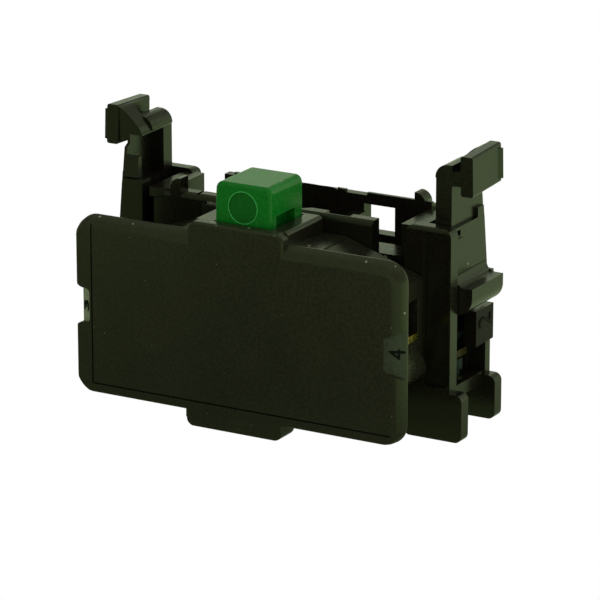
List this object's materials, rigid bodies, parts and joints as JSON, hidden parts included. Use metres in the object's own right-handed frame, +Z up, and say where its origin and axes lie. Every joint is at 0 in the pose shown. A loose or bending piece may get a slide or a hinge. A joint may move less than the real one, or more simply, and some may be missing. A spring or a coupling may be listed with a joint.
{
  "type": "push button contact unit",
  "caption": "Rear unit of an illuminated industrial push button: plunger contact block clipped to a carrier with a bayonet lamp socket and hooked clip arms.",
  "frame": {"origin": "under the middle of the unit, on the surface that its feet and tongue stand on", "axes": "+X along the width towards the right-hand terminals, +Y from the front cover to the rear, +Z up towards the panel"},
  "size_m": [0.051, 0.021, 0.0357],
  "materials": {
    "black_plastic": "satin moulded, fine grain",
    "green_plastic": "satin moulded",
    "grey_plastic": "matte moulded",
    "brass": "stamped strip, lightly dulled",
    "silver": "silver alloy contact tips",
    "plated_steel": "zinc plated",
    "spring_steel": "bright drawn wire"
  },
  "bodies": {
    "carrier": {"contact_cover": "black_plastic", "contact_housing": "black_plastic", "plunger_spring": "spring_steel", "fixed_contact_left": "brass", "fixed_contact_right": "brass", "fixed_tips": "silver", "carrier_frame": "black_plastic", "lamp_base": "grey_plastic", "lamp_sleeve": "brass", "lamp_contact_spring": "spring_steel", "lamp_strip_left": "brass", "lamp_strip_right": "brass"},
    "plunger": {"plunger": "green_plastic", "contact_spring": "spring_steel"},
    "bridge": {"contact_bridge": "brass", "bridge_tips": "silver"},
    "clip_left": {"clip_arm_left": "black_plastic"},
    "clip_right": {"clip_arm_right": "black_plastic"},
    "lamp_button": {"lamp_contact": "brass"},
    "clamp_left": {"terminal_clamp_left": "plated_steel"},
    "clamp_right": {"terminal_clamp_right": "plated_steel"},
    "screw_left": {"terminal_screw_left": "plated_steel"},
    "screw_right": {"terminal_screw_right": "plated_steel"},
    "lamp_clamp_left": {"lamp_clamp_left": "plated_steel"},
    "lamp_clamp_right": {"lamp_clamp_right": "plated_steel"},
    "lamp_screw_left": {"lamp_screw_left": "plated_steel"},
    "lamp_screw_right": {"lamp_screw_right": "plated_steel"}
  },
  "joints": [
    {"name": "plunger_press", "type": "slide", "parent": "carrier", "child": "plunger", "axis": [0, 0, -1], "range_m": [0, 0.0042], "stiffness_N_per_m": 500, "springref_m": -0.002, "deforming": ["plunger_spring", "contact_spring"]},
    {"name": "bridge_slide", "type": "slide", "parent": "carrier", "child": "bridge", "axis": [0, 0, -1], "range_m": [0, 0.00231]},
    {"name": "clip_left_tilt", "type": "hinge", "parent": "carrier", "child": "clip_left", "pos_m": [-0.0215, 0.00515, 0.024], "axis": [0, -1, 0], "range_deg": [0, 5], "stiffness_Nm_per_rad": 0.05},
    {"name": "clip_right_tilt", "type": "hinge", "parent": "carrier", "child": "clip_right", "pos_m": [0.0215, 0.00515, 0.024], "axis": [0, 1, 0], "range_deg": [0, 5], "stiffness_Nm_per_rad": 0.05},
    {"name": "lamp_button_press", "type": "slide", "parent": "carrier", "child": "lamp_button", "axis": [0, 0, -1], "range_m": [0, 0.0016], "stiffness_N_per_m": 400, "springref_m": -0.001, "deforming": ["lamp_contact_spring"]},
    {"name": "clamp_left_close", "type": "slide", "parent": "carrier", "child": "clamp_left", "axis": [0, 0, -1], "range_m": [0, 0.0016]},
    {"name": "screw_left_turn", "type": "hinge", "parent": "carrier", "child": "screw_left", "pos_m": [-0.017, -0.00528, 0.0125], "axis": [0, 0, 1], "range_deg": [0, 1154]},
    {"name": "clamp_right_close", "type": "slide", "parent": "carrier", "child": "clamp_right", "axis": [0, 0, -1], "range_m": [0, 0.0016]},
    {"name": "screw_right_turn", "type": "hinge", "parent": "carrier", "child": "screw_right", "pos_m": [0.017, -0.00528, 0.0125], "axis": [0, 0, 1], "range_deg": [0, 1154]},
    {"name": "lamp_clamp_left_close", "type": "slide", "parent": "carrier", "child": "lamp_clamp_left", "axis": [0, 0, -1], "range_m": [0, 0.0014]},
    {"name": "lamp_screw_left_turn", "type": "hinge", "parent": "carrier", "child": "lamp_screw_left", "pos_m": [-0.0202, 0.00515, 0.008], "axis": [0, 0, 1], "range_deg": [0, 1010]},
    {"name": "lamp_clamp_right_close", "type": "slide", "parent": "carrier", "child": "lamp_clamp_right", "axis": [0, 0, -1], "range_m": [0, 0.0014]},
    {"name": "lamp_screw_right_turn", "type": "hinge", "parent": "carrier", "child": "lamp_screw_right", "pos_m": [0.0202, 0.00515, 0.008], "axis": [0, 0, 1], "range_deg": [0, 1010]}
  ],
  "couplings": [
    {"joint": "bridge_slide", "follows": "plunger_press", "ratio": 0.54762},
    {"joint": "screw_left_turn", "follows": "clamp_left_close", "rad_per_m": 12566},
    {"joint": "screw_right_turn", "follows": "clamp_right_close", "rad_per_m": 12566},
    {"joint": "lamp_screw_left_turn", "follows": "lamp_clamp_left_close", "rad_per_m": 12566},
    {"joint": "lamp_screw_right_turn", "follows": "lamp_clamp_right_close", "rad_per_m": 12566}
  ]
}
